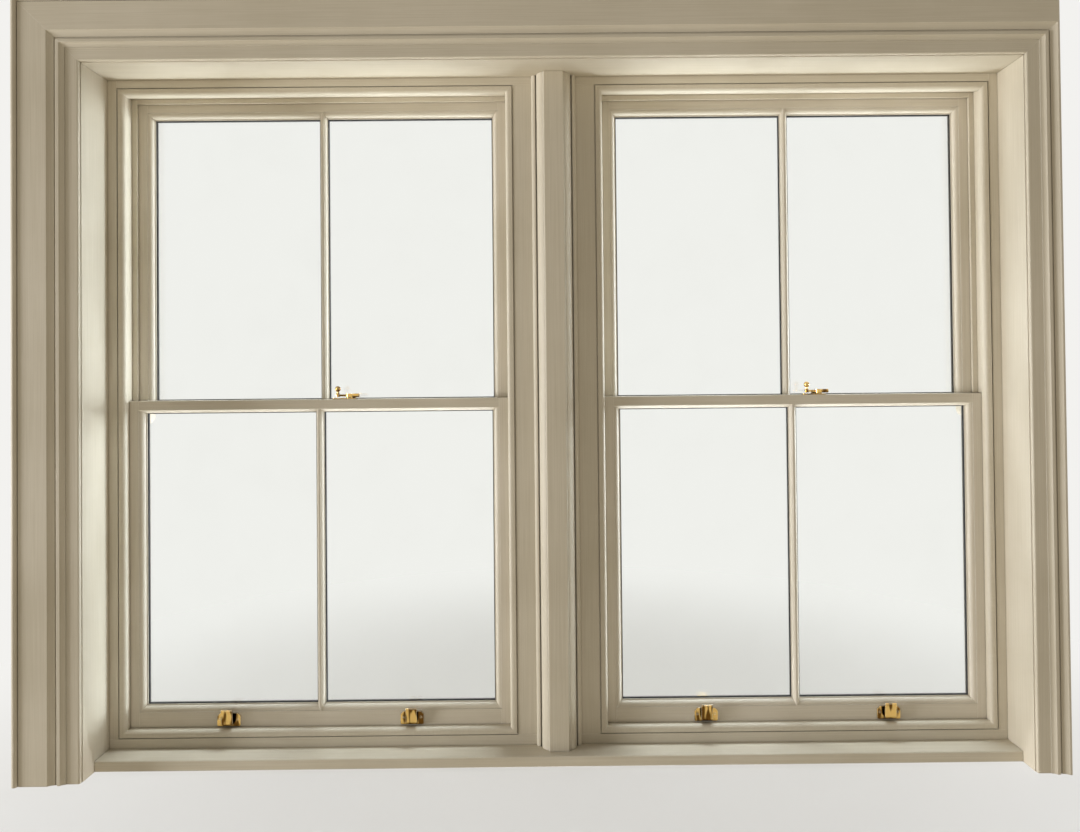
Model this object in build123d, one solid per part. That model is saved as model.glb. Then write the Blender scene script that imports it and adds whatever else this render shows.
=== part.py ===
from build123d import *
import os

os.makedirs("parts", exist_ok=True)

# Millimetres. X runs along the window, +Z is up, the room is on the -Y side.
# y = 0 is the room face of the box frame, x = 0 the middle of the mullion,
# z = 0 the common underside of sill, window board and linings.

# recess of the window: from the window board up to the soffit, lining to lining
recess_half = 1242.0
board_top = 28.5
soffit_z = 1881.0
reveal_depth = 122.0
reveal_thick = 18.0
board_depth = 71.0
board_nose = 4.0
board_under = 3.0

# facing left in view outside the staff beads, at the sides, head, sill and mullion
facing_show = 25.5
head_show = 22.0
sill_show = 27.0
mullion_half = 113.5

# box frame
bead_wide = 21.5
bead_quirk = 2.6
bead_round = 10.5
bead_proud = 2.0
bead_cover = 14.5
facing_thick = 20.0
stile_thick = 20.0
box_deep = 97.5
box_over = 49.0
back_thick = 9.0
plank_foot = 20.0
parting_thick = 8.0
parting_housed = 6.0
sash_thick = 43.6
slide_gap = 0.7
side_gap = 1.5
seat_gap = 0.5
head_thick = 22.0

# sill: seat of the sashes, fall to the weather, nose with a drip groove under it
seat_drop = 13.0
sill_step = 9.5
sill_fall = 16.0
sill_edge = 20.0
sill_nose = 34.0
drip_in = 8.0
drip_wide = 6.0
drip_deep = 5.0
nose_foot = 26.0

# sashes
stile_flat = 38.5
mould_wide = 17.5
mould_deep = 13.5
bevel_in = 7.0
nose_deep = 16.0
unit_thick = 14.0
pane_thick = 4.0
rebate_in = 9.0
bottom_flat = 55.0
top_flat = 36.5
meeting_flat = 26.0
meeting_high = 34.0
meeting_z = 986.5
tongue_top = 8.2
tongue_low = 1.4
bar_half = 11.0
bar_nib = 2.5
horn_drop = 55.0
spacer_show = 2.5

# casing round the recess
casing_wide = 170.0
casing_trimmed = 84.0
casing_thick = 28.0
casing_margin = 2.0
casing_round = 4.0
casing_first = 10.5
casing_groove = 13.0
casing_third = 21.6
first_break = 34.0
second_break = 60.0
casing_edge = 17.0

# post that covers the mullion
post_half = 30.0
post_proud = 44.0
cover_half = 62.0

# brass
lift_offset = 255.0
lift_z = 98.0
lift_half = 32.5
lift_rise = 18.0
lift_cut = 8.0
lift_plate = 2.5
hook_half = 15.5
hook_out = 15.0
catch_offset = 66.0
catch_pivot = 14.0
catch_back = 25.3
catch_long = 66.0
catch_wide = 24.0
catch_plate = 3.0
catch_rise = 2.0
pivot_radius = 3.0
pivot_gap = 0.05
knob_offset = 33.5

facing_inner = mullion_half
facing_outer = recess_half - facing_show
light_inner = facing_inner + bead_wide
light_outer = facing_outer - bead_wide
jamb_inner = light_inner - bead_cover
jamb_outer = light_outer + bead_cover
box_half = jamb_outer + box_deep
ledge_z = board_top + sill_show
sight_bottom = ledge_z + bead_wide
facing_top = soffit_z - head_show
sight_top = facing_top - bead_wide
head_z = sight_top + bead_cover
box_top = soffit_z + box_over
seat_z = sight_bottom - seat_drop
lower_y = facing_thick + slide_gap
parting_y = lower_y + sash_thick + slide_gap
upper_y = parting_y + parting_thick + slide_gap
outer_y = upper_y + sash_thick + slide_gap


def block(x0, x1, y0, y1, z0, z1):
    return Pos((x0 + x1) / 2, (y0 + y1) / 2, (z0 + z1) / 2) * Box(x1 - x0, y1 - y0, z1 - z0)


def outline(*steps):
    # closed flat face from points; a step of four numbers is an arc through the first two
    edges, here = [], steps[0]
    for step in steps[1:]:
        there = step[-2:]
        if len(step) == 4:
            edges.append(ThreePointArc(here, step[:2], there))
        else:
            edges.append(Line(here, there))
        here = there
    if here != steps[0]:
        edges.append(Line(here, steps[0]))
    return make_face(edges)


def along_x(section, x0, x1):
    # section drawn in (y, z)
    plane = Plane(origin=(x0, 0, 0), x_dir=(0, 1, 0), z_dir=(1, 0, 0))
    return extrude(plane * section, amount=x1 - x0)


def along_y(section, y0, y1):
    # section drawn in (x, z)
    plane = Plane(origin=(0, y1, 0), x_dir=(1, 0, 0), z_dir=(0, -1, 0))
    return extrude(plane * section, amount=y1 - y0)


def along_z(section, z0, z1):
    return extrude(Pos(0, 0, z0) * section, amount=z1 - z0)


def strip(section, start, inward, length, first=0, last=0, spare=0):
    # section drawn in (inward, +Y); first and last mitre the ends, 1 shorter or -1 longer inward
    inward, start = Vector(*inward), Vector(*start)
    run = inward.cross(Vector(0, 1, 0))
    plane = Plane(origin=start - run * spare, x_dir=inward, z_dir=run)
    body = extrude(plane * section, amount=length + 2 * spare)
    if first:
        body = split(body, bisect_by=Plane(origin=start, z_dir=inward * first - run), keep=Keep.BOTTOM)
    if last:
        body = split(body, bisect_by=Plane(origin=start + run * length, z_dir=inward * last + run),
                     keep=Keep.BOTTOM)
    return body


def write(name, *solids):
    shape = solids[0] if len(solids) == 1 else Compound(children=list(solids))
    export_step(shape, "parts/" + name + ".step")


# box frame and sill
def sill():
    step, nose, top = parting_y + 1, outer_y + facing_thick + sill_nose, seat_z - sill_step
    low, drip = top - sill_fall - sill_edge, nose - drip_in
    section = outline((0, 0), (0, ledge_z), (facing_thick, ledge_z), (facing_thick, seat_z), (step, seat_z),
                      (step, top), (nose, top - sill_fall), (nose, low), (drip, low), (drip, low + drip_deep),
                      (drip - drip_wide, low + drip_deep), (drip - drip_wide, low), (nose - nose_foot, low),
                      (nose - nose_foot, 0))
    return along_x(section, -box_half, box_half)


def pulley_stile(face, away, base):
    # away is the direction from the light into the box
    ends = sorted((face, face + away * stile_thick))
    plank = block(*ends, facing_thick, outer_y, plank_foot, head_z)
    slot = sorted((face - away, face + away * parting_housed))
    return plank - block(*slot, parting_y, parting_y + parting_thick, 0, head_z + 1) - base


def frame_head():
    plank = block(-box_half + back_thick, box_half - back_thick, facing_thick, outer_y, head_z,
                  head_z + head_thick)
    for side in (-1, 1):
        ends = sorted((side * light_inner, side * light_outer))
        plank -= block(*ends, parting_y, parting_y + parting_thick, head_z - 1, head_z + parting_housed)
    return plank


def staff_section():
    # quirk next to the facing, flat front, rounded edge on the daylight side
    deep, w, q, r = facing_thick + bead_proud, bead_wide, bead_quirk, bead_round
    turn = (1 - 0.5 ** 0.5) * r
    return outline((0, deep), (0, q + 2), (q, q + 2), (q + 1, 0), (w - r, 0), (w - turn, turn, w, r), (w, deep))


def staff_beads(side):
    x0, x1 = sorted((side * facing_inner, side * facing_outer))
    wide, high = x1 - x0, facing_top - ledge_z
    section, y = staff_section(), -bead_proud
    return [strip(section, (x0, y, ledge_z), (1, 0, 0), high, 1, 1),
            strip(section, (x1, y, facing_top), (-1, 0, 0), high, 1, 1),
            strip(section, (x1, y, ledge_z), (0, 0, 1), wide, 1, 1),
            strip(section, (x0, y, facing_top), (0, 0, -1), wide, 1, 1)]


def parting_beads(side, base):
    x0, x1 = sorted((side * light_inner, side * light_outer))
    beyond = bead_cover + parting_housed
    y0, y1 = parting_y, parting_y + parting_thick
    return [block(x0 - beyond, x0, y0, y1, plank_foot, head_z) - base,
            block(x1, x1 + beyond, y0, y1, plank_foot, head_z) - base,
            block(x0, x1, y0, y1, sight_top, head_z + parting_housed)]


def outer_facings(base):
    y0, y1 = outer_y, outer_y + facing_thick
    sides = [block(x0, x1, y0, y1, plank_foot, sight_top) - base
             for x0, x1 in ((-box_half, -light_outer), (-light_inner, light_inner), (light_outer, box_half))]
    return sides + [block(-box_half, box_half, y0, y1, sight_top, box_top)]


# lining, board, casing and mullion cover on the room side
def window_board():
    front, r, u = -board_depth, board_nose, board_under
    q = 1 - 0.5 ** 0.5
    section = outline((0, 0), (0, board_top), (front + r, board_top),
                      (front + q * r, board_top - q * r, front, board_top - r), (front, u),
                      (front + q * u, q * u, front + u, 0))
    return along_x(section, -recess_half, recess_half)


def mullion_post():
    h, p = post_half, -post_proud
    section = outline((-h, 0), (-h, p + 4.5), (-h + 1.6, p + 4.5), (-h + 1.6, p + 3.2),
                      (-h + 2.6, p + 0.9, -h + 5, p), (h - 5, p), (h - 2.6, p + 0.9, h - 1.6, p + 3.2),
                      (h - 1.6, p + 4.5), (h, p + 4.5), (h, 0))
    return along_z(section, board_top, soffit_z)


def mullion_moulding(side):
    # flat bead at the wall side, quirk, then a rounded ridge against the post
    s, c, h = side, cover_half, post_half
    section = outline((s * h, 0), (s * c, 0), (s * c, -5), (s * (c - 4), -10, s * (c - 11), -12),
                      (s * (c - 11), -6), (s * (c - 15), -6), (s * (c - 15), -17),
                      (s * (c - 22), -29, s * (h + 1), -36), (s * h, -36))
    return along_z(section, board_top, soffit_z)


def casing_section():
    # drawn from the recess outward; y from the wall side (0) towards the room (-)
    w, c, e = casing_wide - casing_margin, casing_round, casing_edge
    a, b, f, g, t = first_break, second_break, casing_first, casing_groove, casing_third
    return outline((0, 0), (0, c - f), (c * (1 - 0.5 ** 0.5), c * (1 - 0.5 ** 0.5) - f, c, -f), (a, -f),
                   (a, -f - 2), (a + 7.5, -f - 3.6, a + 12, -f - 8.2), (b - 6, -f - 8.2), (b - 6, -g), (b, -g),
                   (b, -g - 2), (b + 10, -g - 3.6, b + 17, -t), (w - e, -t),
                   (w - e, 2 - t), (w - e + 2, 2 - t), (w - e + 2, 1 - t),
                   (w - e / 2 + 1, -casing_thick, w, 1 - t), (w, 0))


def casing():
    edge = recess_half + casing_margin
    top = soffit_z + casing_margin
    y, section = -reveal_depth, casing_section()
    outer, front = 1.25 * casing_wide, y - 2 * casing_thick
    trimmed = recess_half + casing_trimmed
    keep = block(-edge - outer, trimmed, front, y + 1, -1, top + outer)
    left = strip(section, (-edge, y, top), (-1, 0, 0), top, -1, 0, outer)
    left = left & block(-edge - outer, 0, front, y + 1, 0, top + outer)
    right = strip(section, (edge, y, 0), (1, 0, 0), top, 0, -1, outer)
    right = right & block(0, trimmed, front, y + 1, 0, top + outer)
    head = strip(section, (edge, y, top), (0, 0, 1), 2 * edge, -1, -1, outer) & keep
    return left, right, head


# sash joinery
def mould_section():
    # quirk, ovolo, nose, glass rebate and bevelled glazing on the weather side
    m, t = mould_wide, sash_thick
    return outline((0, 1.8), (2.2, 1.8), (10.6, 5.2, m - 3, mould_deep), (m, mould_deep), (m, nose_deep),
                   (rebate_in, nose_deep), (rebate_in, nose_deep + unit_thick), (m, nose_deep + unit_thick),
                   (bevel_in, t), (0, t))


def horn_outline(x, inner):
    # inner is +1 when the daylight is on the +X side of the stile
    z = meeting_z - meeting_high
    s, f = inner, stile_flat
    return outline((x, z + 1), (x + s * f, z + 1), (x + s * f, z - 9),
                   (x + s * (f - 5), z - 25, x + s * (f - 16), z - 33), (x + s * (f - 20), z - 33),
                   (x + s * (f - 21), z - 47, x + s * (f - 28), z - horn_drop), (x, z - horn_drop))


def bar_section(x):
    b, n, t = bar_half, bar_nib, sash_thick
    return outline((x + n, 0), (x + n, 1.4), (x + 6.8, 5, x + b - 2, mould_deep), (x + b, mould_deep),
                   (x + b, nose_deep), (x + n, nose_deep), (x + n, nose_deep + unit_thick),
                   (x + b, nose_deep + unit_thick), (x + 4, t), (x - 4, t), (x - b, nose_deep + unit_thick),
                   (x - n, nose_deep + unit_thick), (x - n, nose_deep), (x - b, nose_deep),
                   (x - b, mould_deep), (x - b + 2, mould_deep), (x - 6.8, 5, x - n, 1.4), (x - n, 0))


def glass_unit(x0, x1, z0, z1, y):
    # two panes with a black spacer bar round the cavity; returns panes and bars
    cavity = unit_thick - 2 * pane_thick
    y0 = y + nose_deep
    panes = [block(x0, x1, y0, y0 + pane_thick, z0, z1),
             block(x0, x1, y0 + pane_thick + cavity, y0 + unit_thick, z0, z1)]
    return panes, (y0 + pane_thick, y0 + pane_thick + cavity)


def sash(side, upper):
    x0, x1 = sorted((side * (jamb_inner + side_gap), side * (jamb_outer - side_gap)))
    y = upper_y if upper else lower_y
    z0 = meeting_z - meeting_high if upper else seat_z + seat_gap
    z1 = head_z - 2 if upper else meeting_z
    a0, a1 = x0 + stile_flat, x1 - stile_flat
    mid, t = (x0 + x1) / 2, sash_thick
    bottom = z0 + meeting_high if upper else z0 + bottom_flat
    top = z1 - top_flat if upper else z1 - meeting_flat
    tall = top - bottom
    mould = mould_section()

    # stiles: the moulding runs between the rails, mitred at the deep rail
    left = strip(mould, (a0, y, bottom), (1, 0, 0), tall, 0 if upper else 1, 1 if upper else 0)
    left = block(x0, a0, y, y + t, z0, z1) + left
    right = strip(mould, (a1, y, top), (-1, 0, 0), tall, 1 if upper else 0, 0 if upper else 1)
    right = block(a1, x1, y, y + t, z0, z1) + right
    if upper:
        left += along_y(horn_outline(x0, 1), y, y + t)
        right += along_y(horn_outline(x1, -1), y, y + t)

    # deep rail with mitred moulding, and the thin meeting rail with its bevelled tongue
    if upper:
        rail = strip(mould, (a0, y, top), (0, 0, -1), a1 - a0, 1, 1) + block(a0, a1, y, y + t, top, z1)
        meet = outline((y, z0), (y + t, z0), (y + t, bottom), (y + nose_deep + unit_thick, bottom),
                       (y + nose_deep + unit_thick, bottom - 8.5), (y + nose_deep, bottom - 8.5),
                       (y + nose_deep, bottom), (y, bottom))
        back = lower_y + t + tongue_low + seat_gap
        tongue = outline((y, z0), (y, bottom), (lower_y + t + tongue_top + seat_gap, bottom), (back, z0))
    else:
        rail = strip(mould, (a1, y, bottom), (0, 0, 1), a1 - a0, 1, 1) + block(a0, a1, y, y + t, z0, bottom)
        low = z1 - meeting_high
        meet = outline((y, top), (y, z1), (y + t, z1), (y + t, low), (y + nose_deep + unit_thick, low),
                       (y + nose_deep + unit_thick, low + 8.5), (y + nose_deep, low + 8.5),
                       (y + nose_deep, low), (y + 12, low))
        tongue = outline((y + t, low), (y + t, z1), (y + t + tongue_top, z1), (y + t + tongue_low, low))
    meeting = along_x(meet, a0, a1) - left - right
    meeting += along_x(tongue, x0 + 15, x1 - 15)

    bar = along_z(bar_section(mid), bottom, top)
    bar = Pos(0, y, 0) * bar - rail - meeting

    sight_z0 = bottom if upper else bottom + mould_wide
    sight_z1 = top - mould_wide if upper else z1 - meeting_high
    g0 = sight_z0 - 7.5
    g1 = sight_z1 + 7.5
    panes, bars = [], []
    for p0, p1 in ((a0 + 10, mid - bar_nib - 1), (mid + bar_nib + 1, a1 - 10)):
        sheets, (s0, s1) = glass_unit(p0, p1, g0, g1, y)
        panes += sheets
        near = p0 + (mould_wide - 10 if p0 < mid else bar_half - bar_nib - 1) + spacer_show
        far = p1 - (bar_half - bar_nib - 1 if p1 < mid else mould_wide - 10) - spacer_show
        low, high = sight_z0 + spacer_show, sight_z1 - spacer_show
        bars += [block(p0 + 1.5, near, s0, s1, g0 + 1.5, g1 - 1.5), block(far, p1 - 1.5, s0, s1, g0 + 1.5, g1 - 1.5),
                 block(near, far, s0, s1, g0 + 1.5, low), block(near, far, s0, s1, high, g1 - 1.5)]
    return dict(stile_left=left, stile_right=right, deep_rail=rail, meeting_rail=meeting, bar=bar,
                glass=panes, spacers=bars, middle=mid)


# brass fittings
def sash_lift(x):
    # plate with cut top corners and a hooked scoop curling up from its foot
    y, z = lower_y, lift_z
    w, h, c = lift_half, lift_rise, lift_cut
    face = outline((x - w, z - h + 3), (x - w + 3, z - h), (x + w - 3, z - h), (x + w, z - h + 3), (x + w, z + h - c),
                   (x + w - c, z + h), (x - w + c, z + h), (x - w, z + h - c))
    plate = along_y(face, y - lift_plate, y)
    f, o, a = y - lift_plate, hook_out, hook_half
    hook = outline((f, z - 15), (f - 5, z - 15), (f - o + 5, z - 12.2, f - o + 2, z - 4),
                   (f - o + 0.5, z + 16), (f - o - 2.5, z + 30), (f - o - 1.5, z + 33), (f - o + 1.4, z + 30.5),
                   (f - o + 4.2, z + 14), (f - o + 4.8, z - 3), (f - o + 6.6, z - 9.4, f - 5, z - 11.8),
                   (f, z - 11.8))
    scoop = along_x(hook, x - a, x + a)
    rim = outline((x - a, z + 2 * h), (x - a, z - 4), (x - a + 3.2, z - 11.7, x - a + 11, z - 15),
                  (x + a - 11, z - 15), (x + a - 3.2, z - 11.7, x + a, z - 4), (x + a, z + 2 * h))
    return plate + (scoop & along_y(rim, f - o - 6, f))


def catch_base(x):
    # plate on the meeting rail of the lower sash, with the pivot boss
    y, z = lower_y + catch_back, meeting_z
    up = z + catch_plate
    plate = along_z(Pos(x, y, 0) * RectangleRounded(catch_long, catch_wide, 6), z, up)
    boss = along_z(Pos(x + catch_pivot, y, 0) * Circle(9), up, up + catch_rise)
    pin = along_z(Pos(x + catch_pivot, y, 0) * Circle(pivot_radius), up + catch_rise, up + catch_rise + 11)
    return plate + boss + pin


def catch_lever(x):
    # hub on the pivot, arm to the turned knob on the left, barrel-shaped heel on the right
    y, low = lower_y + catch_back, meeting_z + catch_plate + catch_rise + 0.3
    px = x + catch_pivot
    kx = px - knob_offset
    hub = Pos(px, y, 0) * along_z(Circle(10.5), low, low + 10)
    arm = along_y(outline((px, low + 1.5), (kx, low + 3), (kx, low + 8), (px, low + 8.5)), y - 4.5, y + 4.5)
    turned = outline((0, 1), (6, 1), (6, 9), (3.6, 12), (3.6, 16), (6.2, 18.5), (7.8, 22), (7.8, 25), (5.8, 29.5),
                     (2.5, 31.5), (0, 31.5))
    knob = Pos(kx, y, low) * revolve(Plane.XZ * turned, Axis.Z)
    barrel = Pos(px + 14, y, low + 5.2) * (Rot(0, 90, 0) * Cylinder(5.2, 26))
    bore = Pos(px, y, 0) * along_z(Circle(pivot_radius + pivot_gap), low - 1, low + 10.7)
    return hub + arm + knob + barrel - bore


def catch_keep(x):
    # keep on the meeting rail of the upper sash, its nose facing the lever
    y, z = upper_y, meeting_z
    px = x + catch_pivot
    plate = block(px - 17, px + 17, y + 0.8, y + 14.5, z, z + 2.6)
    nose = along_x(outline((y + 0.8, z + 2.6), (y + 0.8, z + 8), (y + 2.2, z + 11.2, y + 5.4, z + 12.4),
                           (y + 9.4, z + 10.2, y + 11, z + 2.6)), px - 9, px + 9)
    return plate + nose


base = sill()
write("sill", base)
write("frame_head", frame_head())
for name, side in (("left", -1), ("right", 1)):
    write("pulley_stile_outer_" + name, pulley_stile(side * jamb_outer, side, base))
    write("pulley_stile_mullion_" + name, pulley_stile(side * jamb_inner, -side, base))
    ends = sorted((side * facing_outer, side * box_half))
    write("inner_facing_" + name, block(*ends, 0, facing_thick, ledge_z, box_top))
    write("staff_beads_" + name, *staff_beads(side))
    ends = sorted((side * recess_half, side * (recess_half + reveal_thick)))
    write("reveal_lining_" + name, block(*ends, -reveal_depth, 0, 0, soffit_z + reveal_thick))
write("inner_facing_mullion", block(-facing_inner, facing_inner, 0, facing_thick, ledge_z, facing_top))
write("inner_facing_head", block(-facing_outer, facing_outer, 0, facing_thick, facing_top, box_top))
write("outer_facings", *outer_facings(base))
write("back_boards", *[block(*sorted((s * (box_half - back_thick), s * box_half)), facing_thick, outer_y,
                             plank_foot, box_top) - base for s in (-1, 1)])
write("parting_beads", *parting_beads(-1, base), *parting_beads(1, base))
write("soffit_lining", block(-recess_half, recess_half, -reveal_depth, 0, soffit_z, soffit_z + reveal_thick))
write("window_board", window_board())
write("mullion_cover", mullion_post(), mullion_moulding(-1), mullion_moulding(1))
casing_left, casing_right, casing_head = casing()
write("architrave_left", casing_left)
write("architrave_right", casing_right)
write("architrave_head", casing_head)

for name, side in (("left", -1), ("right", 1)):
    for level, upper in (("lower", False), ("upper", True)):
        tag = level + "_sash_" + name + "_"
        made = sash(side, upper)
        write(tag + "stile_a", made["stile_left"])
        write(tag + "stile_b", made["stile_right"])
        write(tag + ("top_rail" if upper else "bottom_rail"), made["deep_rail"])
        write(tag + "meeting_rail", made["meeting_rail"])
        write(tag + "glazing_bar", made["bar"])
        write(tag + "glass", *made["glass"])
        write(tag + "spacers", *made["spacers"])
        x = made["middle"]
        if upper:
            write("catch_keep_" + name, catch_keep(x + catch_offset))
        else:
            write("sash_lifts_" + name, *[sash_lift(x + s * lift_offset) for s in (-1, 1)])
            write("catch_base_" + name, catch_base(x + catch_offset))
            write("catch_lever_" + name, catch_lever(x + catch_offset))
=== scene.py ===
import math

import bpy
import bmesh
from mathutils import Matrix, Vector


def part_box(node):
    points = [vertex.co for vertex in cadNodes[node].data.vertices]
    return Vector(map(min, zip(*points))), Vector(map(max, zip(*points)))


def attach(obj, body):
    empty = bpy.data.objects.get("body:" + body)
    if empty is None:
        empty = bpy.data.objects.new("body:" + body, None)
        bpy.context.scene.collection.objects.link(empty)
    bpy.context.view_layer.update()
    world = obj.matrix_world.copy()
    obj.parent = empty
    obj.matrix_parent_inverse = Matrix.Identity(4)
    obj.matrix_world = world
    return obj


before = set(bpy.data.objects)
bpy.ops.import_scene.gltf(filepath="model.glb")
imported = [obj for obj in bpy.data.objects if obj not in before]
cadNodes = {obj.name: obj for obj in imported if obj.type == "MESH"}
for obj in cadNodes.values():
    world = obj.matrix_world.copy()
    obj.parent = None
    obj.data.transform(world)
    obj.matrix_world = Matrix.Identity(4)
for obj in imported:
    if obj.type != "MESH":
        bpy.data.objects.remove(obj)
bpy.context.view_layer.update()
scene = bpy.context.scene
mm = 0.001
print("frame loaded,", len(cadNodes), "pieces")


def linear(hexColour):
    # sRGB hex to linear RGBA
    parts = [int(hexColour[i:i + 2], 16) / 255 for i in (1, 3, 5)]
    return [p / 12.92 if p <= 0.04045 else ((p + 0.055) / 1.055) ** 2.4 for p in parts] + [1.0]


def addNode(tree, kind, settings=None, values=None, links=None):
    # one shader node with its settings, socket values and links from other sockets
    node = tree.nodes.new("ShaderNode" + kind)
    for name, value in (settings or {}).items():
        setattr(node, name, value)
    for name, value in (values or {}).items():
        node.inputs[name].default_value = value
    for name, source in (links or {}).items():
        tree.links.new(source, node.inputs[name])
    return node


def newMaterial(name):
    material = bpy.data.materials.new(name)
    material.use_nodes = True
    material.node_tree.nodes.clear()
    return material, material.node_tree


def dress(nodeName, material):
    for slot in cadNodes[nodeName].material_slots:
        slot.material = material


# Satin eggshell brushed on planed softwood: an even stone-white film with a soft shine, faint brush
# lines along each length, a thinner and paler film with a painted highlight on the arrises, dust with painted shade
# and painted deep shade in the quirks.
satinPaint = {
    "colour": "#C8BFAC",
    "paler": "#D8D0C0",
    # paler film and painted highlight on the arrises
    "arrisFilmAndHighlight": "#F4EFE4",
    # dust together with painted shade in the quirks
    "dust": "#8F8069",
    # painted deep shade in the quirks and narrow joints
    "shade": "#3A3128",
    "ior": 1.48,
    "roughness": (0.44, 0.58),
    "shineSpan": (0.3, 0.7),  # noise that gives the first and the second roughness
    "brushWidth": 3.0,  # mm, coarser than real bristle lines so that they show
    "brushLength": 260.0,  # mm
    "cloud": 340.0,  # mm, slow change of tone over a length
    "brushDepth": 0.09,  # mm
    "brushStrength": 0.4,
    "brushShare": 0.9,  # of the brush lines beside the slow change in the tone
    "toneSpan": (0.68, 1.22),  # mixed noise that gives the first and the paler colour
    "arrisRound": 1.6,  # mm
    "arrisSpan": (0.995, 0.88),  # how far the rounded normal leaves the flat one
    "arrisShare": 0.85,
    "quirkReach": 9.0,  # mm
    "dustAndShadeSpan": (0.62, 0.12),  # open share of the surroundings where dust with painted shade starts and is full
    "dustShare": 0.55,
    "shadeSpan": (0.34, 0.08),  # the same for the painted deep shade
    "shadeShare": 0.92,
}
# the weather paint's dust colour also carries the painted shade in the quirks
weatherPaint = dict(satinPaint, colour="#D3CCBD", paler="#DDD7CA", dust="#8C8373", roughness=(0.30, 0.42))
sashPaint = dict(satinPaint, colour="#CDC4B2", paler="#DDD5C7")


def brushedPaint(name, look, along):
    material, tree = newMaterial(name)
    place = addNode(tree, "TexCoord").outputs["Object"]
    across, lengthwise = 1 / (look["brushWidth"] * mm), 1 / (look["brushLength"] * mm)
    streaks = []
    for axis in along:
        scale = [lengthwise if axis == a else across for a in "XYZ"]
        stretched = addNode(tree, "Mapping", values={"Scale": scale}, links={"Vector": place})
        streaks.append(addNode(tree, "TexNoise", values={"Scale": 1.0, "Detail": 3.0, "Roughness": 0.6},
                               links={"Vector": stretched.outputs[0]}).outputs[0])
    brush = streaks[0]
    if len(streaks) == 2:  # pieces with lengths both ways carry the mean of both directions
        brush = addNode(tree, "Math", {"operation": "ADD"}, links={0: streaks[0], 1: streaks[1]}).outputs[0]
        brush = addNode(tree, "Math", {"operation": "MULTIPLY"}, {1: 0.5}, {0: brush}).outputs[0]
    cloud = addNode(tree, "TexNoise", values={"Scale": 1 / (look["cloud"] * mm), "Detail": 4.0},
                    links={"Vector": place}).outputs[0]
    tone = addNode(tree, "Math", {"operation": "MULTIPLY_ADD"}, {1: look["brushShare"]},
                   {0: brush, 2: cloud}).outputs[0]
    low, high = look["toneSpan"]
    pale = addNode(tree, "MapRange", values={"From Min": low, "From Max": high}, links={"Value": tone}).outputs[0]
    film = addNode(tree, "Mix", {"data_type": "RGBA"}, {6: linear(look["colour"]), 7: linear(look["paler"])},
                   {0: pale}).outputs[2]

    # thinner paler film and a painted highlight on the arrises: where the rounded normal leaves the flat one
    rounded = addNode(tree, "Bevel", {"samples": 3}, {"Radius": look["arrisRound"] * mm}).outputs[0]
    flat = addNode(tree, "NewGeometry").outputs["True Normal"]
    match = addNode(tree, "VectorMath", {"operation": "DOT_PRODUCT"}, links={0: rounded, 1: flat}).outputs["Value"]
    low, high = look["arrisSpan"]
    rubbedAndHighlit = addNode(tree, "MapRange", values={"From Min": low, "From Max": high, "To Max": look["arrisShare"]},
                     links={"Value": match}).outputs[0]
    film = addNode(tree, "Mix", {"data_type": "RGBA"}, {7: linear(look["arrisFilmAndHighlight"])}, {0: rubbedAndHighlit, 6: film}).outputs[2]

    # dust with painted shade that settles in the quirks, and painted deep shade in the quirks and narrow joints
    closed = addNode(tree, "AmbientOcclusion", {"samples": 4}, {"Distance": look["quirkReach"] * mm}).outputs["AO"]
    low, high = look["dustAndShadeSpan"]
    dusty = addNode(tree, "MapRange", values={"From Min": low, "From Max": high, "To Max": look["dustShare"]},
                    links={"Value": closed}).outputs[0]
    film = addNode(tree, "Mix", {"data_type": "RGBA"}, {7: linear(look["dust"])}, {0: dusty, 6: film}).outputs[2]
    low, high = look["shadeSpan"]
    deep = addNode(tree, "MapRange", values={"From Min": low, "From Max": high, "To Max": look["shadeShare"]},
                   links={"Value": closed}).outputs[0]
    film = addNode(tree, "Mix", {"data_type": "RGBA"}, {7: linear(look["shade"])}, {0: deep, 6: film}).outputs[2]

    (low, high), (glossy, dull) = look["shineSpan"], look["roughness"]
    shine = addNode(tree, "MapRange", values={"From Min": low, "From Max": high, "To Min": glossy, "To Max": dull},
                    links={"Value": brush}).outputs[0]
    marks = addNode(tree, "Bump", values={"Strength": look["brushStrength"], "Distance": look["brushDepth"] * mm},
                    links={"Height": brush, "Normal": rounded}).outputs[0]
    paint = addNode(tree, "BsdfPrincipled", values={"IOR": look["ior"]},
                    links={"Base Color": film, "Roughness": shine, "Normal": marks})
    addNode(tree, "OutputMaterial", links={"Surface": paint.outputs[0]})
    return material


paints = {}
for finish, look in (("satinStoneEggshell", satinPaint), ("satinSashEggshell", sashPaint),
                     ("glossWeatherPaint", weatherPaint)):
    for word, along in (("Level", "X"), ("Upright", "Z"), ("BothWays", "XZ")):
        paints[finish + word] = brushedPaint(finish + word, look, along)

levelPieces = ("frame_head", "inner_facing_head", "soffit_lining", "window_board", "architrave_head",
               "_bottom_rail", "_top_rail", "_meeting_rail", "sill")
bothWayPieces = ("staff_beads", "parting_beads", "outer_facings")
weatherPieces = ("outer_facings", "back_boards")
for nodeName in cadNodes:
    if nodeName.endswith(("_glass", "_spacers")) or nodeName.startswith(("sash_lifts", "catch_")):
        continue
    way = "Upright"
    if nodeName.startswith(bothWayPieces):
        way = "BothWays"
    elif nodeName.endswith(levelPieces):
        way = "Level"
    finish = "satinStoneEggshell"
    if nodeName in weatherPieces:
        finish = "glossWeatherPaint"
    elif "_sash_" in nodeName:
        finish = "satinSashEggshell"
    dress(nodeName, paints[finish + way])
print("paint done,", len(paints), "finishes")

# Clear float glass in sealed units: all but colourless, with a thin film of dust in patches.
floatGlass = {
    "tint": "#FDFEFD",
    "letsThrough": "#F6F8F7",
    "dust": "#D9D6CE",
    "ior": 1.5,
    "patch": 160.0,  # mm, size of the dusty patches
    "patchSpan": (0.45, 0.75),  # noise where a patch starts and is full
    "dustShare": 0.008,
}


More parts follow.
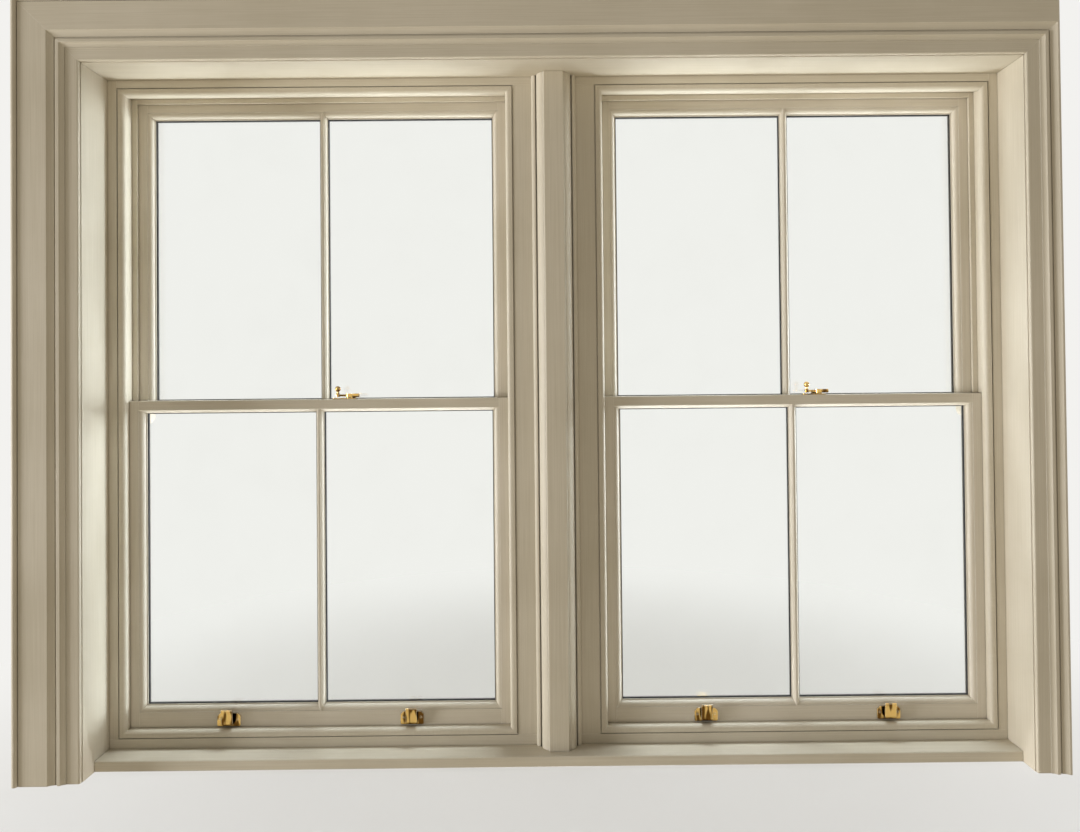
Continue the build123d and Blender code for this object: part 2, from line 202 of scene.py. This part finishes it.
def clearGlass(look):
    material, tree = newMaterial("clearFloatGlass")
    place = addNode(tree, "TexCoord").outputs["Object"]
    patches = addNode(tree, "TexNoise", values={"Scale": 1 / (look["patch"] * mm), "Detail": 3.0},
                      links={"Vector": place}).outputs[0]
    low, high = look["patchSpan"]
    share = addNode(tree, "MapRange", values={"From Min": low, "From Max": high, "To Max": look["dustShare"]},
                    links={"Value": patches}).outputs[0]
    clear = addNode(tree, "BsdfPrincipled", values={"Base Color": linear(look["tint"]), "Roughness": 0.0,
                                                    "Transmission Weight": 1.0, "IOR": look["ior"]})
    dusty = addNode(tree, "BsdfDiffuse", values={"Color": linear(look["dust"])})
    glass = addNode(tree, "MixShader", links={0: share, 1: clear.outputs[0], 2: dusty.outputs[0]})
    through = addNode(tree, "BsdfTransparent", values={"Color": linear(look["letsThrough"])})
    rays = addNode(tree, "LightPath")
    both = addNode(tree, "MixShader", links={0: rays.outputs["Is Shadow Ray"], 1: glass.outputs[0],
                                             2: through.outputs[0]})
    addNode(tree, "OutputMaterial", links={"Surface": both.outputs[0]})
    return material


# Black spacer bar between the panes: extruded composite, dull, with fine ribs along it.
spacerBar = {
    "colour": "#0D0D0E",
    "worn": "#1B1B1D",
    "roughness": (0.45, 0.62),
    "grain": 12.0,  # mm
    "waveLength": 0.314,  # of the wave texture at scale 1
    "rib": 2.0,  # mm between ribs
    "ribDepth": 0.15,  # mm
}


def compositeSpacer(look):
    material, tree = newMaterial("blackCompositeSpacer")
    place = addNode(tree, "TexCoord").outputs["Object"]
    grain = addNode(tree, "TexNoise", values={"Scale": 1 / (look["grain"] * mm), "Detail": 5.0},
                    links={"Vector": place}).outputs[0]
    colour = addNode(tree, "Mix", {"data_type": "RGBA"}, {6: linear(look["colour"]), 7: linear(look["worn"])},
                     {0: grain}).outputs[2]
    waves = look["waveLength"] / (look["rib"] * mm)
    ribs = addNode(tree, "TexWave", {"bands_direction": "Y"}, {"Scale": waves}, {"Vector": place}).outputs["Fac"]
    bump = addNode(tree, "Bump", values={"Distance": look["ribDepth"] * mm}, links={"Height": ribs}).outputs[0]
    low, high = look["roughness"]
    rough = addNode(tree, "MapRange", values={"To Min": low, "To Max": high}, links={"Value": grain}).outputs[0]
    body = addNode(tree, "BsdfPrincipled", links={"Base Color": colour, "Roughness": rough, "Normal": bump})
    addNode(tree, "OutputMaterial", links={"Surface": body.outputs[0]})
    return material


glassMaterial, spacerMaterial = clearGlass(floatGlass), compositeSpacer(spacerBar)
for nodeName in cadNodes:
    if nodeName.endswith("_glass"):
        dress(nodeName, glassMaterial)
    elif nodeName.endswith("_spacers"):
        dress(nodeName, spacerMaterial)
print("glazing done")

# Polished brass castings: warm yellow mirror shine, fine polishing lines, painted dark and bright reflection bands,
# painted highlights on the edges, brown tarnish with painted shade in the corners.
polishedBrass = {
    # the dark painted reflection band
    "colour": "#6B4818",
    # the bright painted reflection band
    "brightReflectionBand": "#E6BE70",
    # near-white painted highlight on the edges
    "worn": "#FFF4D6",
    # brown tarnish with painted shade in the hollows
    "tarnishAndShade": "#2A1C0C",
    "roughness": (0.08, 0.20),
    "shineSpan": (0.35, 0.7),  # noise that gives the first and the second roughness
    "polish": (25.0, 1.1),  # mm along and between the polishing lines
    "polishDepth": 0.02,  # mm
    "polishStrength": 0.4,
    "reflectionBand": (13.0, 60.0),  # mm across and up, painted dark and bright reflection bands
    "reflectionBandSpan": (0.44, 0.56),  # noise where a painted reflection band turns from dark to bright
    "edgeRound": 1.4,  # mm
    "edgeHighlightSpan": (0.998, 0.95),  # how far the rounded normal leaves the flat one
    "tarnishAndShadeReach": 22.0,  # mm
    "tarnishAndShadeSpan": (0.72, 0.3),  # open share of the surroundings
    "tarnishAndShadeShare": 0.96,
}


def castBrass(look):
    material, tree = newMaterial("polishedCastBrass")
    place = addNode(tree, "TexCoord").outputs["Object"]
    across, upwards = (1 / (size * mm) for size in look["reflectionBand"])
    reflectionBandMapping = addNode(tree, "Mapping", values={"Scale": [across, across, upwards]}, links={"Vector": place})
    reflectionBand = addNode(tree, "TexNoise", values={"Scale": 1.0, "Detail": 1.0},
                   links={"Vector": reflectionBandMapping.outputs[0]}).outputs[0]
    along, between = (1 / (size * mm) for size in look["polish"])
    lines = addNode(tree, "Mapping", values={"Scale": [along, between, between]}, links={"Vector": place})
    polish = addNode(tree, "TexNoise", values={"Scale": 1.0, "Detail": 2.0},
                     links={"Vector": lines.outputs[0]}).outputs[0]
    rounded = addNode(tree, "Bevel", {"samples": 4}, {"Radius": look["edgeRound"] * mm}).outputs[0]
    # painted reflection: upright bands of dark and bright brass
    low, high = look["reflectionBandSpan"]
    reflectionBandMask = addNode(tree, "MapRange", values={"From Min": low, "From Max": high}, links={"Value": reflectionBand}).outputs[0]
    metal = addNode(tree, "Mix", {"data_type": "RGBA"}, {6: linear(look["colour"]), 7: linear(look["brightReflectionBand"])},
                    {0: reflectionBandMask}).outputs[2]
    # painted highlight on the edges: where the rounded normal leaves the flat one
    flat = addNode(tree, "NewGeometry").outputs["True Normal"]
    match = addNode(tree, "VectorMath", {"operation": "DOT_PRODUCT"}, links={0: rounded, 1: flat}).outputs["Value"]
    low, high = look["edgeHighlightSpan"]
    edgeHighlight = addNode(tree, "MapRange", values={"From Min": low, "From Max": high}, links={"Value": match}).outputs[0]
    metal = addNode(tree, "Mix", {"data_type": "RGBA"}, {7: linear(look["worn"])}, {0: edgeHighlight, 6: metal}).outputs[2]
    # brown tarnish with painted shade in the hollows, deep into the hook's scoop
    closed = addNode(tree, "AmbientOcclusion", {"samples": 6}, {"Distance": look["tarnishAndShadeReach"] * mm}).outputs["AO"]
    low, high = look["tarnishAndShadeSpan"]
    brownAndShaded = addNode(tree, "MapRange", values={"From Min": low, "From Max": high, "To Max": look["tarnishAndShadeShare"]},
                    links={"Value": closed}).outputs[0]
    metal = addNode(tree, "Mix", {"data_type": "RGBA"}, {7: linear(look["tarnishAndShade"])}, {0: brownAndShaded, 6: metal}).outputs[2]
    (low, high), (glossy, dull) = look["shineSpan"], look["roughness"]
    rough = addNode(tree, "MapRange", values={"From Min": low, "From Max": high, "To Min": glossy, "To Max": dull},
                    links={"Value": reflectionBand}).outputs[0]
    bump = addNode(tree, "Bump", values={"Strength": look["polishStrength"], "Distance": look["polishDepth"] * mm},
                   links={"Height": polish, "Normal": rounded}).outputs[0]
    brass = addNode(tree, "BsdfPrincipled", values={"Metallic": 1.0},
                    links={"Base Color": metal, "Roughness": rough, "Normal": bump})
    addNode(tree, "OutputMaterial", links={"Surface": brass.outputs[0]})
    return material


brassMaterial = castBrass(polishedBrass)
for nodeName in cadNodes:
    if nodeName.startswith(("sash_lifts", "catch_")):
        dress(nodeName, brassMaterial)

# slotted screws of the lifts and catch plates, raised heads
screwHead = {
    "radius": 3.7,  # mm
    "proud": 0.7,  # mm above the plate
    "slotWidth": 1.0,  # mm
    "slotDepth": 0.45,  # mm
    "around": 20,  # corners of the head
    "rimShare": 0.75,  # of the height where the crown starts
    "crownShare": 0.86,  # of the radius
    "liftHalf": 32.5,  # mm, half a lift's width
    "liftPlate": 2.5,  # mm, its thickness
    "liftSpread": 24.5,  # mm from the middle of the lift
    "liftRise": 19.5,  # mm above its foot
    "catchPlate": 3.0,  # mm, the thickness of a catch plate
    "catchPlaces": (7.0, 27.0),  # mm from the left end of the catch plate
}


def addScrew(mesh, centre, turn, look):
    # turn maps the head's own frame, standing on +Z, onto the plate
    radius, slot = look["radius"] * mm, look["slotWidth"] * mm / 2
    top, floor = look["proud"] * mm, (look["proud"] - look["slotDepth"]) * mm
    start = math.asin(slot / radius)
    halves = look["around"] // 2

    def corner(x, y, z):
        return mesh.verts.new(centre + turn @ Vector((x, y, z)))

    ring = [2 * math.pi * i / look["around"] for i in range(look["around"])]
    foot = [corner(radius * math.cos(a), radius * math.sin(a), 0) for a in ring]
    seat = [corner(radius * math.cos(a), radius * math.sin(a), floor) for a in ring]
    for i in range(len(ring)):
        j = (i + 1) % len(ring)
        mesh.faces.new((foot[i], foot[j], seat[j], seat[i]))
    mesh.faces.new(seat)
    for side in (0, math.pi):
        angles = [side + start + (math.pi - 2 * start) * i / halves for i in range(halves + 1)]
        low = [corner(radius * math.cos(a), radius * math.sin(a), floor) for a in angles]
        rim = [corner(radius * math.cos(a), radius * math.sin(a), top * look["rimShare"]) for a in angles]
        inner = radius * look["crownShare"]
        crown = [corner(inner * math.cos(a), max(slot, abs(inner * math.sin(a))) * (1 if math.sin(a) > 0 else -1), top)
                 for a in angles]
        for i in range(halves + 1):
            j = (i + 1) % (halves + 1)
            mesh.faces.new((low[i], low[j], rim[j], rim[i]))
            mesh.faces.new((rim[i], rim[j], crown[j], crown[i]))
        mesh.faces.new(crown)


def screwSet(name, places, turn, body):
    mesh = bmesh.new()
    for place in places:
        addScrew(mesh, Vector(place), turn, screwHead)
    bmesh.ops.recalc_face_normals(mesh, faces=mesh.faces)
    data = bpy.data.meshes.new(name)
    mesh.to_mesh(data)
    mesh.free()
    data.materials.append(brassMaterial)
    piece = bpy.data.objects.new(name, data)
    scene.collection.objects.link(piece)
    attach(piece, body)


towardsRoom = Matrix.Rotation(math.radians(90), 3, "X")
for side in ("left", "right"):
    low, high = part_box("sash_lifts_" + side)
    plateFace = high.y - screwHead["liftPlate"] * mm
    centres = (low.x + screwHead["liftHalf"] * mm, high.x - screwHead["liftHalf"] * mm)
    places = [(x + s * screwHead["liftSpread"] * mm, plateFace, low.z + screwHead["liftRise"] * mm)
              for x in centres for s in (-1, 1)]
    screwSet("lift_screws_" + side, places, towardsRoom, "lower_sash_" + side)
    low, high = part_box("catch_base_" + side)
    places = [(low.x + x * mm, (low.y + high.y) / 2, low.z + screwHead["catchPlate"] * mm)
              for x in screwHead["catchPlaces"]]
    screwSet("catch_screws_" + side, places, Matrix.Identity(3), "lower_sash_" + side)
print("brass done")

# plain pale floor that runs out into an equally pale background
stage = {
    "floorColour": "#E9E7E3",
    "backColour": "#F3F2EF",
    "floorSize": 60.0,  # m
    "floorDrop": 0.5,  # mm below the part
    "fadeFrom": 0.5,  # m from the part
    "fadeTo": 2.2,
    "nearGlow": 0.6,  # share of plain background in the floor beside the part
    "bounce": 0.46,  # light that the floor gives back from below
    "bounceColour": "#FAEBCD",
    "airColour": "#FCF0D8",  # light that comes from all round
    "airStrength": 0.2,
}


def seenRays(tree):
    # rays that reach the eye, straight or by gloss and glass, and so show the plain background
    rays = addNode(tree, "LightPath")
    seen = addNode(tree, "Math", {"operation": "MAXIMUM"}, links={0: rays.outputs["Is Camera Ray"],
                                                                 1: rays.outputs["Is Glossy Ray"]}).outputs[0]
    return addNode(tree, "Math", {"operation": "MAXIMUM"},
                   links={0: seen, 1: rays.outputs["Is Transmission Ray"]}).outputs[0]


def paleFloor(look):
    material, tree = newMaterial("paleFloor")
    place = addNode(tree, "TexCoord").outputs["Object"]
    away = addNode(tree, "VectorMath", {"operation": "LENGTH"}, links={0: place}).outputs["Value"]
    fade = addNode(tree, "MapRange", {"interpolation_type": "SMOOTHSTEP"},
                   {"From Min": look["fadeFrom"], "From Max": look["fadeTo"], "To Min": look["nearGlow"]},
                   {"Value": away}).outputs[0]
    matt = addNode(tree, "BsdfDiffuse", values={"Color": linear(look["floorColour"])})
    glow = addNode(tree, "Emission", values={"Color": linear(look["backColour"]), "Strength": 1.0})
    seen = seenRays(tree)
    fade = addNode(tree, "Math", {"operation": "MULTIPLY"}, links={0: fade, 1: seen}).outputs[0]
    mixed = addNode(tree, "MixShader", links={0: fade, 1: matt.outputs[0], 2: glow.outputs[0]})
    hidden = addNode(tree, "MapRange", values={"To Min": look["bounce"], "To Max": 0.0},
                     links={"Value": seen}).outputs[0]
    given = addNode(tree, "Emission", values={"Color": linear(look["bounceColour"]), "Strength": 1.0})
    mixed = addNode(tree, "MixShader", links={0: hidden, 1: mixed.outputs[0], 2: given.outputs[0]})
    addNode(tree, "OutputMaterial", links={"Surface": mixed.outputs[0]})
    return material


floorMesh = bpy.data.meshes.new("floor")
half = stage["floorSize"] / 2
floorMesh.from_pydata([(-half, -half, 0), (half, -half, 0), (half, half, 0), (-half, half, 0)], [], [(0, 1, 2, 3)])
floorMesh.materials.append(paleFloor(stage))
floor = bpy.data.objects.new("floor", floorMesh)
floor.location.z = -stage["floorDrop"] * mm
scene.collection.objects.link(floor)

world = bpy.data.worlds.new("studio")
scene.world = world
world.use_nodes = True
tree = world.node_tree
tree.nodes.clear()
soft = addNode(tree, "Background", values={"Color": linear(stage["airColour"]), "Strength": stage["airStrength"]})
pale = addNode(tree, "Background", values={"Color": linear(stage["backColour"]), "Strength": 1.0})
mixed = addNode(tree, "MixShader", links={0: seenRays(tree), 1: soft.outputs[0], 2: pale.outputs[0]})
addNode(tree, "OutputWorld", links={"Surface": mixed.outputs[0]})

# a raking lamp in the room at the left, and daylight that slants in from the right, from above and off the
# ground, so that it fills the linings and the board without burning out the weather side
lamps = {
    "roomKey": {"place": (-8.8, -2.3, 0.6), "aim": (0, 0, 1.0), "size": (2.0, 0.9), "power": 540,
                "colour": "#FFFFFF"},
    "daylight": {"place": (14.0, 4.9, 1.2), "aim": (-1.0, 0, 1.0), "size": (4.0, 2.8), "power": 2080,
                 "colour": "#F2F6FF"},
    "daylightHigh": {"place": (0.4, 1.5, 6.4), "aim": (0, 0, 0.3), "size": (3.0, 1.0), "power": 320,
                     "colour": "#F4F7FF"},
    "daylightGround": {"place": (0.3, 2.0, -7.0), "aim": (0, 0, 1.9), "size": (4.0, 1.2), "power": 680,
                       "colour": "#FBFAFF"},
}
sunless = bpy.data.collections.new("sunless")  # the floor, which daylight neither burns out nor stops at
sunless.objects.link(floor)
sunless.collection_objects[0].light_linking.link_state = "EXCLUDE"
for name, look in lamps.items():
    light = bpy.data.lights.new(name, "AREA")
    light.shape = "RECTANGLE"
    light.size, light.size_y = look["size"]
    light.energy = look["power"]
    light.color = linear(look["colour"])[:3]
    lamp = bpy.data.objects.new(name, light)
    lamp.location = look["place"]
    lamp.rotation_euler = (Vector(look["aim"]) - Vector(look["place"])).to_track_quat("-Z", "Y").to_euler()
    lamp.visible_camera = False
    lamp.visible_transmission = False
    scene.collection.objects.link(lamp)
    if name.startswith("daylight"):
        lamp.light_linking.receiver_collection = sunless
        lamp.light_linking.blocker_collection = sunless
print("stage and lamps done")

shot = {
    "lens": 26.17,  # mm on a 36 mm sensor
    "place": (-0.0029, -2.1818, 1.0338),
    "yaw": 0.195,  # degrees to the right
    "pitch": 0.669,  # degrees up
    "roll": -0.555,
    "shift": (-0.0163, -0.0415),
}
yaw, pitch, roll = (math.radians(shot[k]) for k in ("yaw", "pitch", "roll"))
ahead = Vector((math.sin(yaw) * math.cos(pitch), math.cos(yaw) * math.cos(pitch), math.sin(pitch)))
right = Vector((math.cos(yaw), -math.sin(yaw), 0))
up = right.cross(ahead)
right, up = right * math.cos(roll) + up * math.sin(roll), up * math.cos(roll) - right * math.sin(roll)
cameraData = bpy.data.cameras.new("camera")
cameraData.lens = shot["lens"]
cameraData.shift_x, cameraData.shift_y = shot["shift"]
camera = bpy.data.objects.new("camera", cameraData)
camera.matrix_world = Matrix.Translation(Vector(shot["place"])) @ Matrix((right, up, -ahead)).transposed().to_4x4()
scene.collection.objects.link(camera)
scene.camera = camera
scene.view_settings.view_transform = "Standard"
